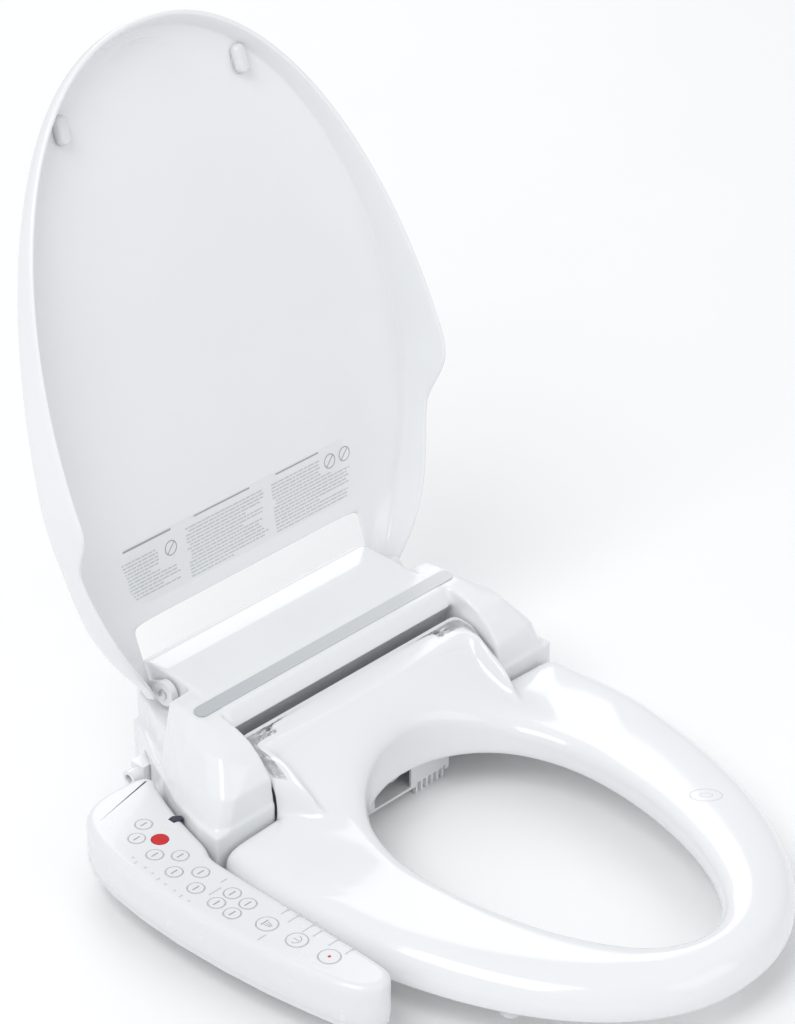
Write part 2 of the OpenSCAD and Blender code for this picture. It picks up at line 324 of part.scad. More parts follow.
module inlet_strainer() color("dimgray") difference() { rod_x(146.2, 155, 8, 26, 7.9); rod_x(147.4, 156, 8, 26, 7); }
module solenoid_valve() color("black") { box([88, -4, 16.5], [104.8, 16.8, 36]); translate([96, 6, 35.9]) cylinder(h = 24, r = 8.5); }
module distributor_valve() color("white") { translate([-29, 16, 16.5]) cylinder(h = 20, r = 9); translate([-29, 16, 36.4]) cylinder(h = 16, r = 10.5); }

// ---------- nozzles: each slides down and forward out of the housing ----------
noz_a = 24;
noz_y = -118;
noz_z = 1;
noz_len = 150;
pitch_r = 6;
// local frame: +X of the frame runs back and up along the nozzle
module noz_frame(x) translate([x, noz_y, noz_z]) rotate([noz_a, 0, 0]) rotate([0, 0, 90]) children();
module nozzle(x, holes) noz_frame(x) difference() {
    union() { rotate([0, 90, 0]) cylinder(h = noz_len, r = 5); translate([10, -1.5, 4]) cube([noz_len - 12, 3, 2]);
        for (i = [4:43]) translate([10 + PI * i, 0, 0]) rotate([90, 0, 0]) linear_extrude(3, center = true) polygon([[-0.85, 5.9], [0.85, 5.9], [0.4, 7.6], [-0.4, 7.6]]); }
    for (i = [0:holes - 1]) translate([4 + 3 * i, 0, -6]) cylinder(h = 4, r = 0.6);
    translate([14, 0, 0]) rotate([0, 90, 0]) cylinder(h = noz_len, r = 2.5);
}
module nozzle_rear() color("white") nozzle(-9, 3);
module nozzle_front() color("white") nozzle(9, 2);
// the pinions stand over the racks at a rack gap
pin_along = 10 + PI * 21 + PI / 2;
module pinion(x) noz_frame(x) translate([pin_along, 0, 6.75 + pitch_r]) rotate([90, 0, 0]) {
    difference() { union() { translate([0, 0, -2]) cylinder(h = 4, r = pitch_r - 1.2); for (i = [0:11]) rotate([0, 0, -90 + 30 * i]) translate([0, 0, -2]) linear_extrude(4) polygon([[pitch_r - 1.5, -0.85], [pitch_r, -0.62], [pitch_r + 0.55, -0.36], [pitch_r + 0.55, 0.36], [pitch_r, 0.62], [pitch_r - 1.5, 0.85]]); } 
      translate([0, 0, -3]) cylinder(h = 6, r = 1.5); } }
module nozzle_pinion_rear() color("ivory") pinion(-9);
module nozzle_pinion_front() color("ivory") pinion(9);
// stepper motors outboard of the pinions, their shafts pressed into them
module nozzle_motors() color("silver") for (s = [-1, 1]) noz_frame(0) translate([pin_along, 0, 6.75 + pitch_r]) rotate([90, 0, 0]) {
    translate([0, 0, s > 0 ? 14.4 : -29.4]) cylinder(h = 15, r = 11); translate([0, 0, s > 0 ? 6.6 : -14.5]) cylinder(h = 7.9, r = 1.48); }
module nozzle_guide() color("gainsboro") noz_frame(0) difference() {
    union() { translate([58, -17, -8.5]) cube([46, 34, 7]); translate([58, -17, -2]) cube([8, 34, 7.4]); translate([96, -17, -2]) cube([8, 34, 7.4]); }
    for (s = [-1, 1]) translate([50, s * 9, 0]) rotate([0, 90, 0]) cylinder(h = 60, r = 5.08);
    for (s = [-1, 1]) translate([50, s * 9 - 2, 3]) cube([60, 4, 8]);
}

// ---------- air ----------
module dryer_fan_housing() color("dimgray") { translate([62, -22, 18.4]) cylinder(h = 24, r = 1.45); difference() {
    union() { translate([62, -22, 16.5]) cylinder(h = 34, r = 29); box([46, -60, 16.5], [68, -22, 44]); }
    translate([62, -22, 18.5]) cylinder(h = 30, r = 27);
    translate([62, -22, 47]) cylinder(h = 6, r = 14);
    box([48, -62, 18.5], [66, -30, 42]);
} }
module dryer_impeller() color("black") translate([62, -22, 19.5]) difference() { union() { cylinder(h = 1.5, r = 24.5); cylinder(h = 22, r = 6); for (i = [0:15]) rotate([0, 0, i * 22.5]) translate([17, -0.7, 1.4]) cube([7, 1.4, 20]); } translate([0, 0, -1]) cylinder(h = 30, r = 1.5); }
module deodorizer_housing() color("dimgray") { translate([140, -37.9, 23]) rotate([90, 0, 0]) cylinder(h = 18, r = 0.95); difference() { box([127, -62, 8], [153, -36, 38]); box([129, -60, 10], [151, -38, 36]); translate([140, -63, 23]) rotate([-90, 0, 0]) cylinder(h = 5, r = 9); } }
module deodorizer_fan() color("black") translate([140, -49, 23]) rotate([90, 0, 0]) difference() { union() { cylinder(h = 12, r = 3, center = true); for (i = [0:6]) rotate([0, 0, i * 360 / 7]) rotate([0, 25, 0]) translate([2.4, -2.6, -0.5]) cube([7.2, 5.2, 1]); } cylinder(h = 20, r = 1, center = true); }
module deodorizer_cartridge() color("lightgray") { box([134, -94.6, 12.4], [171, -67.4, 39.6]); box([170.9, -95, 12], [173.4, -67, 40]); }

// ---------- electronics, dampers, fasteners ----------
module main_pcb() color("darkgreen") difference() { union() { box([-100, -40, 72], [-40, 24, 73.6]); box([-90, -30, 73.5], [-70, -10, 84]); box([-62, 0, 73.5], [-46, 14, 82]); translate([-80, 8, 73.5]) cylinder(h = 13, r = 6); } for (y = [-36, 20]) translate([-96, y, 70]) cylinder(h = 6, r = 1.6); }
module lid_damper() color("gray") union() { rod_x(70, 111, lid_ax_y, lid_ax_z, 9.5); box([72, lid_ax_y - 10, 80.5], [100, lid_ax_y + 10, 84]); }
module seat_damper() color("gray") rod_x(128, 152, seat_ax_y, seat_ax_z, 9.5);
module case_screws() color("silver") { both() for (y = [-52, 22]) translate([107, y, 16.5 + 72]) { translate([0, 0, -0.3]) cylinder(h = 2, r = 3.5); translate([0, 0, -12]) cylinder(h = 12, r = 1.35); } }
module cord_gland() color("white") difference() { union() { box([-147, -5.6, 16.2], [-128, 8.6, 34.8]); rod_x(-156, -146.9, 1.5, 25.5, 6.5); } rod_x(-157, -127, 1.5, 25.5, 3.6); }

lid();
lid_bumpers();
lid_hinge_bushes();
lid_hinge_pins();
seat_top_shell();
seat_bottom_plate();
seat_heater();
seat_bumpers();
seat_hinge_pins();
body_top_cover();
accent_strip();
body_base();
nozzle_housing();
dryer_grille();
panel_cover();
panel_base();
panel_pcb();
ir_window();
status_lenses();
key_power();
key_night();
key_eco();
key_seat_temp();
key_water_temp();
key_air_temp();
key_pressure();
key_position();
key_plus();
key_minus();
key_forward();
key_back();
key_rear_wash();
key_front_wash();
key_stop();
mounting_plate();
release_button();
water_tank();
tank_heater();
tank_float();
solenoid_valve();
inlet_fitting();
inlet_strainer();
nozzle_rear();
nozzle_front();
nozzle_guide();
nozzle_pinion_rear();
nozzle_pinion_front();
nozzle_motors();
distributor_valve();
dryer_fan_housing();
dryer_duct();
dryer_impeller();
deodorizer_housing();
deodorizer_cartridge();
deodorizer_fan();
main_pcb();
lid_damper();
seat_damper();
case_screws();
cord_gland();
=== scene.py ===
import bpy, bmesh, json, math, random
from mathutils import Vector, Matrix
from mathutils.bvhtree import BVHTree


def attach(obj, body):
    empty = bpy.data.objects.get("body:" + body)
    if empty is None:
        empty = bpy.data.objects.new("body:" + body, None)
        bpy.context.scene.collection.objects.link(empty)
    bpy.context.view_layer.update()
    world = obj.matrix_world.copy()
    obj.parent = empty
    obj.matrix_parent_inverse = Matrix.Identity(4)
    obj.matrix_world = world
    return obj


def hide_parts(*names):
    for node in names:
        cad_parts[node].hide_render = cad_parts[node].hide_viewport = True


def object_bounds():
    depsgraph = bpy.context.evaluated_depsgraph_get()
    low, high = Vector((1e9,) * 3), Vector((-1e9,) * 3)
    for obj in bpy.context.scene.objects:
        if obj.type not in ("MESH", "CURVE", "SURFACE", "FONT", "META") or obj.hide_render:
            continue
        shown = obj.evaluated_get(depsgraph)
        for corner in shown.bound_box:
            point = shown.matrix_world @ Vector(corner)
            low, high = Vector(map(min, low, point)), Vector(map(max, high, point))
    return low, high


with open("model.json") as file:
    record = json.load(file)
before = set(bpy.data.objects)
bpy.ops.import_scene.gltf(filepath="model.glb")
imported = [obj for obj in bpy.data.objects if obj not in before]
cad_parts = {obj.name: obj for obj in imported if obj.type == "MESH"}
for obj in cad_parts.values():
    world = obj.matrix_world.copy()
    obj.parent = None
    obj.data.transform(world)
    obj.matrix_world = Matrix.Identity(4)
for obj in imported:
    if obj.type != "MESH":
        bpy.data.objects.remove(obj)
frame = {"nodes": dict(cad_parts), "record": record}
N = frame["nodes"]


def box_lists():
    lo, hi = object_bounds()
    return [list(map(float, lo)), list(map(float, hi))]


CAD_BOX = box_lists()
MM = 0.001
scene = bpy.context.scene

# ---------------- camera ----------------
cam_data = bpy.data.cameras.new("camera")
cam = bpy.data.objects.new("camera", cam_data)
scene.collection.objects.link(cam)
cam.location = (-1.5024, -1.5908, 1.5283)
cam.rotation_euler = (math.radians(58.6), 0, math.radians(-45.8))
cam_data.sensor_width = 36
cam_data.lens = 119.03
cam_data.clip_end = 20
scene.camera = cam


# ---------------- small helpers ----------------
def mix(a, b, t):
    return a + (b - a) * t


def smooth_table(table):
    """Monotone cubic curve through (x, y) pairs."""
    xs = [p[0] for p in table]
    ys = [p[1] for p in table]
    n = len(xs)
    d = [(ys[i + 1] - ys[i]) / (xs[i + 1] - xs[i]) for i in range(n - 1)]
    m = [d[0]] + [0.0] * (n - 2) + [d[-1]]
    for i in range(1, n - 1):
        if d[i - 1] * d[i] > 0:
            h0, h1 = xs[i] - xs[i - 1], xs[i + 1] - xs[i]
            w1, w2 = 2 * h1 + h0, h1 + 2 * h0
            m[i] = (w1 + w2) / (w1 / d[i - 1] + w2 / d[i])

    def f(x):
        if x <= xs[0]:
            return ys[0]
        if x >= xs[-1]:
            return ys[-1]
        i = 0
        while x > xs[i + 1]:
            i += 1
        h = xs[i + 1] - xs[i]
        t = (x - xs[i]) / h
        return ((2 * t**3 - 3 * t**2 + 1) * ys[i] + (t**3 - 2 * t**2 + t) * h * m[i]
                + (-2 * t**3 + 3 * t**2) * ys[i + 1] + (t**3 - t**2) * h * m[i + 1])
    return f


def new_mesh(name, verts, faces, smooth=True, merge=0.0):
    me = bpy.data.meshes.new(name)
    me.from_pydata([Vector(v) * MM for v in verts], [], faces)
    bm = bmesh.new()
    bm.from_mesh(me)
    if merge:
        bmesh.ops.remove_doubles(bm, verts=bm.verts, dist=merge * MM)
    bmesh.ops.recalc_face_normals(bm, faces=bm.faces)
    bm.to_mesh(me)
    bm.free()
    for p in me.polygons:
        p.use_smooth = smooth
    ob = bpy.data.objects.new(name, me)
    scene.collection.objects.link(ob)
    return ob


def apply_mods(ob):
    bpy.context.view_layer.update()
    dg = bpy.context.evaluated_depsgraph_get()
    me = bpy.data.meshes.new_from_object(ob.evaluated_get(dg))
    old = ob.data
    ob.modifiers.clear()
    ob.data = me
    me.name = ob.name
    bpy.data.meshes.remove(old)
    return ob


def subsurf(ob, levels):
    m = ob.modifiers.new("sub", "SUBSURF")
    m.levels = m.render_levels = levels
    return apply_mods(ob)


def smooth_by_angle(ob, deg):
    """Smooth shading that keeps edges sharper than the angle."""
    me = ob.data
    for p in me.polygons:
        p.use_smooth = True
    bm = bmesh.new()
    bm.from_mesh(me)
    lim = math.radians(deg)
    for e in bm.edges:
        e.smooth = not (len(e.link_faces) == 2 and e.calc_face_angle(0) > lim)
    bm.to_mesh(me)
    bm.free()


# ---------------- materials ----------------
def plastic(name, color, rough=0.18, spread=0.05, scale=60.0, bump=0.004, coat=0.0, tint=0.012, alpha=None, metallic=0.0, sub=0.0, bump_scale=None, dist=0.0004, spec=None):
    m = bpy.data.materials.new(name)
    m.use_nodes = True
    nt = m.node_tree
    b = nt.nodes["Principled BSDF"]
    b.inputs["Metallic"].default_value = metallic
    if spec is not None:
        b.inputs["Specular IOR Level"].default_value = spec
    if coat:
        b.inputs["Coat Weight"].default_value = coat
        b.inputs["Coat Roughness"].default_value = 0.06
    if sub:
        b.inputs["Subsurface Weight"].default_value = sub
        b.inputs["Subsurface Scale"].default_value = 0.004
    tc = nt.nodes.new("ShaderNodeTexCoord")
    nz = nt.nodes.new("ShaderNodeTexNoise")
    nz.inputs["Scale"].default_value = scale
    nz.inputs["Detail"].default_value = 4
    nt.links.new(tc.outputs["Object"], nz.inputs["Vector"])
    mr = nt.nodes.new("ShaderNodeMapRange")
    mr.inputs["From Min"].default_value = 0.3
    mr.inputs["From Max"].default_value = 0.7
    mr.inputs["To Min"].default_value = rough
    mr.inputs["To Max"].default_value = rough + spread
    nt.links.new(nz.outputs["Fac"], mr.inputs["Value"])
    nt.links.new(mr.outputs["Result"], b.inputs["Roughness"])
    big = nt.nodes.new("ShaderNodeTexNoise")
    big.inputs["Scale"].default_value = 7.0
    big.inputs["Detail"].default_value = 2
    nt.links.new(tc.outputs["Object"], big.inputs["Vector"])
    cr = nt.nodes.new("ShaderNodeValToRGB")
    cr.color_ramp.elements[0].position = 0.3
    cr.color_ramp.elements[1].position = 0.7
    cr.color_ramp.elements[0].color = [max(0, c - tint) for c in color] + [1]
    cr.color_ramp.elements[1].color = [min(1, c + tint * 0.4) for c in color] + [1]
    nt.links.new(big.outputs["Fac"], cr.inputs["Fac"])
    nt.links.new(cr.outputs["Color"], b.inputs["Base Color"])
    if bump:
        fine = nt.nodes.new("ShaderNodeTexNoise")
        fine.inputs["Scale"].default_value = bump_scale or scale * 14
        fine.inputs["Detail"].default_value = 3
        nt.links.new(tc.outputs["Object"], fine.inputs["Vector"])
        bp = nt.nodes.new("ShaderNodeBump")
        bp.inputs["Strength"].default_value = bump
        bp.inputs["Distance"].default_value = dist
        nt.links.new(fine.outputs["Fac"], bp.inputs["Height"])
        nt.links.new(bp.outputs["Normal"], b.inputs["Normal"])
    if alpha is not None:
        b.inputs["Alpha"].default_value = alpha
    return m


WHITE = (0.83, 0.84, 0.855)
M = {
    "lid_white": plastic("lid_white", WHITE, 0.15, 0.05, 40, 0.02, coat=0.35),
    "seat_white": plastic("seat_white", WHITE, 0.12, 0.05, 40, 0.02, coat=0.4),
    "body_white": plastic("body_white", WHITE, 0.16, 0.05, 40, 0.02, coat=0.35),
    "panel_white": plastic("panel_white", (0.80, 0.81, 0.825), 0.22, 0.06, 60, 0.02, coat=0.2),
    "white_inner": plastic("white_inner", (0.76, 0.77, 0.78), 0.42, 0.12, 120, 0.12),
    "stop_rubber": plastic("stop_rubber", (0.74, 0.75, 0.765), 0.35, 0.1, 90, 0.05, sub=0.3),
    "steel": plastic("steel", (0.66, 0.67, 0.68), 0.22, 0.12, 300, 0.05, metallic=1.0),
    "heater_film": plastic("heater_film", (0.55, 0.26, 0.07), 0.4, 0.15, 200, 0.05),
    "circuit_board": plastic("circuit_board", (0.02, 0.16, 0.07), 0.28, 0.15, 300, 0.08),
    "dark_window": plastic("dark_window", (0.012, 0.013, 0.035), 0.08, 0.04, 60, 0.0, coat=0.5, tint=0.004),
    "lens_clear": plastic("lens_clear", (0.70, 0.70, 0.68), 0.12, 0.05, 60, 0.0),
    "key_white": plastic("key_white", (0.79, 0.80, 0.815), 0.24, 0.06, 80, 0.03),
    "key_red": plastic("key_red", (0.62, 0.03, 0.035), 0.24, 0.08, 80, 0.03, tint=0.03),
    "plate_grey": plastic("plate_grey", (0.62, 0.63, 0.64), 0.45, 0.1, 150, 0.12),
    "tank_clear": plastic("tank_clear", (0.60, 0.68, 0.74), 0.15, 0.05, 60, 0.02, alpha=0.6),
    "float_orange": plastic("float_orange", (0.75, 0.25, 0.04), 0.55, 0.1, 200, 0.2),
    "black_plastic": plastic("black_plastic", (0.03, 0.03, 0.033), 0.4, 0.1, 150, 0.1, tint=0.008),
    "grey_plastic": plastic("grey_plastic", (0.16, 0.165, 0.175), 0.42, 0.1, 150, 0.12),
    "brass": plastic("brass", (0.70, 0.50, 0.22), 0.24, 0.12, 220, 0.06, metallic=1.0),
    "mesh_grey": plastic("mesh_grey", (0.4, 0.4, 0.4), 0.35, 0.1, 900, 0.5, metallic=0.8),
    "nozzle_white": plastic("nozzle_white", (0.78, 0.78, 0.76), 0.16, 0.06, 80, 0.02),
    "gear_ivory": plastic("gear_ivory", (0.74, 0.70, 0.56), 0.4, 0.1, 150, 0.06),
}


# accent strip with painted shade: its base colour ramps from darker grey at the -X end to lighter grey at the +X end
def strip_material_painted_shade():
    m = plastic("accent_grey", (0.6, 0.62, 0.64), 0.3, 0.08, 120, 0.05)
    nt = m.node_tree
    b = nt.nodes["Principled BSDF"]
    tc = nt.nodes.new("ShaderNodeTexCoord")
    sep = nt.nodes.new("ShaderNodeSeparateXYZ")
    nt.links.new(tc.outputs["Object"], sep.inputs["Vector"])
    mr = nt.nodes.new("ShaderNodeMapRange")
    mr.inputs["From Min"].default_value = -0.14
    mr.inputs["From Max"].default_value = 0.14
    nt.links.new(sep.outputs["X"], mr.inputs["Value"])
    # painted shade: colour ramp along object X, darker at -X, lighter at +X
    cr = nt.nodes.new("ShaderNodeValToRGB")
    cr.color_ramp.elements[0].color = (0.50, 0.525, 0.545, 1)
    cr.color_ramp.elements[1].color = (0.66, 0.68, 0.695, 1)
    nt.links.new(mr.outputs["Result"], cr.inputs["Fac"])
    nt.links.new(cr.outputs["Color"], b.inputs["Base Color"])
    return m


M["accent_grey"] = strip_material_painted_shade()
INK = plastic("print_grey", (0.10, 0.105, 0.115), 0.35, 0.08, 200, 0.0, tint=0.02)
INK_SOFT = plastic("print_soft", (0.36, 0.37, 0.385), 0.35, 0.08, 200, 0.0, tint=0.02)
INK_PALE = plastic("print_pale", (0.56, 0.57, 0.58), 0.35, 0.08, 200, 0.0, tint=0.02)
LABEL = plastic("label_film", (0.80, 0.81, 0.82), 0.3, 0.06, 120, 0.02)

slot_of = {s["node"]: s["material_slot"] for s in frame["record"]["subparts"]}
for name, ob in N.items():
    ob.data.materials.clear()
    ob.data.materials.append(M[slot_of[name]])


def dress(ob, mat, body, node=None):
    ob.data.materials.clear()
    ob.data.materials.append(mat)
    if node:
        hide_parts(node)
    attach(ob, body)
    return ob


# ---------------- lid ----------------
HY, HZ, OPEN = -6.0, 91.0, math.radians(-113.6)
CO, SO = math.cos(OPEN), math.sin(OPEN)


def opened(p):
    y, z = p[1] - HY, p[2] - HZ
    return (p[0], HY + y * CO - z * SO, HZ + y * SO + z * CO)


HALF, TIP, Y0 = 191.0, 488.0, HY - 169.0
lid_w = smooth_table([(-3, 130), (4, 133), (12, 139), (20, 145), (35, 154), (60, 166), (85, 174.5), (104, 179.5), (125, 184.2), (148, 188.7), (169, HALF)])
lid_zi = smooth_table([(-3, 110.5), (12, 110.3), (35, 109), (51.5, 107.5), (64, 105.5), (84, 100.5), (114, 92), (154, 82.5), (194, 74.5), (244, 66.5), (294, 60), (344, 55), (394, 51), (434, 48.8), (482, 47)])
lid_zr = smooth_table([(-3, 97), (8, 90), (20, 84), (35, 78), (60, 72), (85, 68), (104, 65), (118, 61), (128, 53), (140, 40), (150, 32), (160, 28.8), (170, 28.2), (500, 28.2)])
OUT = [(0.25, 0, 0, 0), (0.5, 0, 0, 0), (0.728, 0, 0.15, 0), (0.86, 0, 1.4, 0), (1, 11, 3.6, 0), (1, 5.5, 6.4, 0), (1, 2.2, 10.5, 0), (1, 0.7, 16, 0), (1, 0, 0, 0.5), (1, 0, 0, 0.82), (1, 0.5, 0, 1)]
INN = [(0.25, 0, 0, 0), (0.5, 0, 0, 0), (0.728, 0, 0.0, 0), (0.83, 0, 1.2, 0), (1, 17, 4.4, 0), (1, 10.2, 6.6, 0), (1, 8.6, 8.2, 0), (1, 7.4, 12.5, 0), (1, 5.6, 0, 0.5), (1, 4.2, 0, 0.82), (1, 3.5, 0, 1)]
JN = 2


def lid_z(c, v, vo, layer):
    top = lid_zi(v) + (3.0 if layer == 0 else 0.0)
    zr = lid_zr(vo)
    k = min(1.0, (top - zr) / 26.0)
    # the deep outer skirt starts only where the rim is deep
    a = top - c[2] * k
    base = top - (18 if layer == 0 else 13.5) * k
    return a if c[3] == 0 else base + (zr - base) * c[3]


rear = [51.5, 53.5, 57, 62, 68, 75, 82, 90, 98, 106, 113, 119, 124, 129, 134, 139, 144, 149, 155, 162]
caps = [90.0 * i / 34 for i in range(35)]


def lid_rows():
    rows = []
    for v in rear:
        rows.append(((lid_w(v), HY - v), (0.0, HY - v)))
    for a in caps:
        r = math.radians(a)
        x = 0.0 if a == 90 else HALF * math.cos(r) ** 0.92
        rows.append(((x, Y0 - (TIP + Y0) * math.sin(r)), (0.0, Y0 - 0.8 * (TIP + Y0) * (1 - math.cos(r)))))
    return rows


def lid_points(layer):
    sec = OUT if layer == 0 else INN
    out = []
    for O, S in lid_rows():
        dx, dy = O[0] - S[0], O[1] - S[1]
        L = math.hypot(dx, dy)
        ux, uy = dx / L, dy / L
        row = [(0.0, S[1], lid_zi(HY - S[1]) + (3.0 if layer == 0 else 0.0))]
        for c in sec:
            r = c[0] * (L - 3) if c[0] < 1 else L - c[1]
            p = (S[0] + ux * r, S[1] + uy * r)
            row.append((p[0], p[1], lid_z(c, HY - p[1], HY - O[1], layer)))
        out.append(row)
    return out


ear_v = [47, 42, 36, 30, 24, 18, 13, 8, 3, -3]


def ear_points(layer):
    sec = OUT if layer == 0 else INN
    out = []
    for v in ear_v:
        W = lid_w(v)
        row = []
        for c in sec[JN:]:
            if c[0] < 1:
                x = 118 + (W - 118) * (c[0] - 0.728) / 0.272 * min(1, 0.55 + (W - 130) / 90)
            else:
                x = W - c[1] * min(1, (W - 118) / 26)
            row.append((x, HY - v, lid_z(c, v, v, layer)))
        out.append(row)
    return out


def build_lid():
    verts, faces = [], []

    def add(p):
        verts.append(opened(p))
        return len(verts) - 1

    grids = []
    for layer in (0, 1):
        main = lid_points(layer)
        ears = ear_points(layer)
        rows = []
        spine = [add(r[0]) for r in main]
        for s in (-1, 1):
            mrows = []
            for k, r in enumerate(main):
                ids = [spine[k]]
                for p in r[1:]:
                    if s == 1 and k == len(main) - 1:
                        ids.append(None)
                    else:
                        ids.append(add((s * p[0], p[1], p[2])))
                mrows.append(ids)
            erows = [[add((s * p[0], p[1], p[2])) for p in r] for r in ears]
            rows.append((mrows, erows))
        # the last row is shared by both sides
        last = rows[0][0][-1]
        rows[1][0][-1] = last
        grids.append(rows)
    for layer in (0, 1):
        for mrows, erows in grids[layer]:
            for k in range(len(mrows) - 1):
                a, b = mrows[k], mrows[k + 1]
                for j in range(len(a) - 1):
                    faces.append([a[j], a[j + 1], b[j + 1], b[j]])
            first = mrows[0][JN + 1:]
            seq = [first] + erows
            for k in range(len(seq) - 1):
                a, b = seq[k], seq[k + 1]
                for j in range(len(a) - 1):
                    faces.append([a[j], a[j + 1], b[j + 1], b[j]])
    for side in (0, 1):
        mo, eo = grids[0][side]
        mi, ei = grids[1][side]
        rim_o = [r[-1] for r in reversed(eo)] + [r[-1] for r in mo]
        rim_i = [r[-1] for r in reversed(ei)] + [r[-1] for r in mi]
        for k in range(len(rim_o) - 1):
            faces.append([rim_o[k], rim_o[k + 1], rim_i[k + 1], rim_i[k]])
        # cut edge across the middle, then along the ear, then the ear's end
        path_o = mo[0][:JN + 2] + [r[0] for r in eo]
        path_i = mi[0][:JN + 2] + [r[0] for r in ei]
        for k in range(len(path_o) - 1):
            faces.append([path_o[k], path_o[k + 1], path_i[k + 1], path_i[k]])
        for j in range(len(eo[-1]) - 1):
            faces.append([eo[-1][j], eo[-1][j + 1], ei[-1][j + 1], ei[-1][j]])
    ob = new_mesh("lid_shell", verts, faces)
    return subsurf(ob, 2)


lid = dress(build_lid(), M["lid_white"], "lid", "lid")


def on_lid(x, v, lift=0.0):
    z = lid_zi(v) - lift
    return opened((x, HY - v, z))


def patch(name, rects, place, mat, body, nx=1):
    """Thin printed rectangles laid on a surface: each is (x0, y0, x1, y1) in the surface's own plane."""
    verts, faces = [], []
    for x0, y0, x1, y1 in rects:
        steps = max(1, int(abs(y1 - y0) / 6))
        for i in range(steps):
            a, b = mix(y0, y1, i / steps), mix(y0, y1, (i + 1) / steps)
            n = len(verts)
            for lift in (0.02, 0.10):
                verts += [place(x0, a, lift), place(x1, a, lift), place(x1, b, lift), place(x0, b, lift)]
            faces += [[n, n + 1, n + 2, n + 3], [n + 4, n + 5, n + 6, n + 7]]
            for q in range(4):
                faces.append([n + q, n + (q + 1) % 4, n + 4 + (q + 1) % 4, n + 4 + q])
    ob = new_mesh(name, verts, faces, smooth=False)
    return dress(ob, mat, body)


# a plain notice panel: three columns of generic bars
rng = random.Random(7)
bars, dark = [], []
cols = [(-121, -62), (-56, 28), (34, 121)]
for ci, (c0, c1) in enumerate(cols):
    v = 106.0 if ci else 102.0
    while v > (69 if ci == 0 else 67):
        x = c0 + rng.choice((0, 0, 3))
        end = c1 - rng.uniform(0, (c1 - c0) * (0.55 if rng.random() < 0.3 else 0.12))
        if ci == 0 and v > 84:
            end = min(end, c0 + 36)
        if ci == 2 and v > 94:
            end = min(end, c0 + 52)
        while x < end - 1.5:
            w = min(rng.uniform(2.0, 7.5), end - x)
            bars.append((x, v, x + w, v - 1.15))
            x += w + 0.8
        v -= 2.75
dark += [(-118, 112.3, -70, 110.7), (-46, 112.8, 12, 111.6), (40, 112.8, 86, 111.6)]
film = dress(new_mesh("lid_label", [on_lid(x, v, l) for l in (-0.3, 0.05) for v in (64, 72, 80, 88, 96, 104, 114) for x in (-124, 124)],
             [[2 * i + o, 2 * i + 1 + o, 2 * i + 3 + o, 2 * i + 2 + o] for o in (0, 14) for i in range(6)]
             + [[2 * i, 2 * i + 2, 2 * i + 16, 2 * i + 14] for i in range(6)] + [[2 * i + 1, 2 * i + 3, 2 * i + 17, 2 * i + 15] for i in range(6)]
             + [[0, 1, 15, 14], [12, 13, 27, 26]], smooth=False), LABEL, "lid")


def label_place(x, v, lift):
    return on_lid(x, v, 0.05 + lift)


patch("lid_label_lines", bars, label_place, INK_PALE, "lid")
patch("lid_label_heads", dark, label_place, INK_SOFT, "lid")


# two pictogram outlines: plain rings and slashes
def ring_strip(cx, cy, r0, r1, n=40, sx=1.0, sy=1.0, rot=0.0):
    pts = []
    for i in range(n):
        a0, a1 = 2 * math.pi * i / n, 2 * math.pi * (i + 1) / n
        q = []
        for a, r in ((a0, r0), (a1, r0), (a1, r1), (a0, r1)):
            x, y = r * math.cos(a) * sx, r * math.sin(a) * sy
            q.append((cx + x * math.cos(rot) - y * math.sin(rot), cy + x * math.sin(rot) + y * math.cos(rot)))
        pts.append(q)
    return pts


def quads(name, quad_list, place, mat, body, thick=0.08, base=0.02):
    verts, faces = [], []
    for q in quad_list:
        n = len(verts)
        for lift in (base, base + thick):
            verts += [place(x, y, lift) for x, y in q]
        k = len(q)
        faces += [list(range(n, n + k)), list(range(n + k, n + 2 * k))]
        for i in range(k):
            faces.append([n + i, n + (i + 1) % k, n + k + (i + 1) % k, n + k + i])
    ob = new_mesh(name, verts, faces, smooth=False, merge=0.001)
    return dress(ob, mat, body)


def line_quad(x0, y0, x1, y1, w):
    dx, dy = x1 - x0, y1 - y0
    L = math.hypot(dx, dy)
    nx, ny = -dy / L * w / 2, dx / L * w / 2
    return [(x0 + nx, y0 + ny), (x1 + nx, y1 + ny), (x1 - nx, y1 - ny), (x0 - nx, y0 - ny)]


picto = []
for cx, cy in ((-72, 97), (97, 101), (113, 101)):
    picto += ring_strip(cx, cy, 5.2, 6.0, 28)
    picto += [line_quad(cx - 4, cy - 4, cx + 4, cy + 4, 0.8)]
quads("lid_label_signs", picto, label_place, INK_SOFT, "lid")


# soft stops of the lid: rounded oblong pads
def rounded_pad(name, cx, y0, y1, z0, z1, r, place, body):
    """An oblong pad with rounded ends and a domed tip; z0 is the tip."""
    n = 40
    out = []
    for i in range(n):
        a = 2 * math.pi * i / n
        c, s = math.cos(a), math.sin(a)
        out.append((cx, (y1 if s > 0 else y0), c, s))
    prof = [(r, z1), (r, mix(z1, z0, 0.45)), (r * 0.97, mix(z1, z0, 0.72)), (r * 0.86, mix(z1, z0, 0.9)), (r * 0.6, z0 + 0.1), (r * 0.25, z0), (0.001, z0)]
    verts, faces = [], []
    for pr, z in prof:
        for x, y, c, s in out:
            verts.append(place((x + pr * c, y + pr * s, z)))
    for k in range(len(prof) - 1):
        for i in range(n):
            faces.append([k * n + i, k * n + (i + 1) % n, (k + 1) * n + (i + 1) % n, (k + 1) * n + i])
    faces.append(list(range(n)))
    return verts, faces


vs, fs = [], []
for s in (-1, 1):
    a, b = rounded_pad("p", 88 * s, -438, -426, 37.4, 45.5, 5.5, opened, "lid")
    o = len(vs)
    vs += a
    fs += [[i + o for i in f] for f in b]
dress(new_mesh("lid_stop_pads", vs, fs, merge=0.01), M["stop_rubber"], "lid", "lid_bumpers")

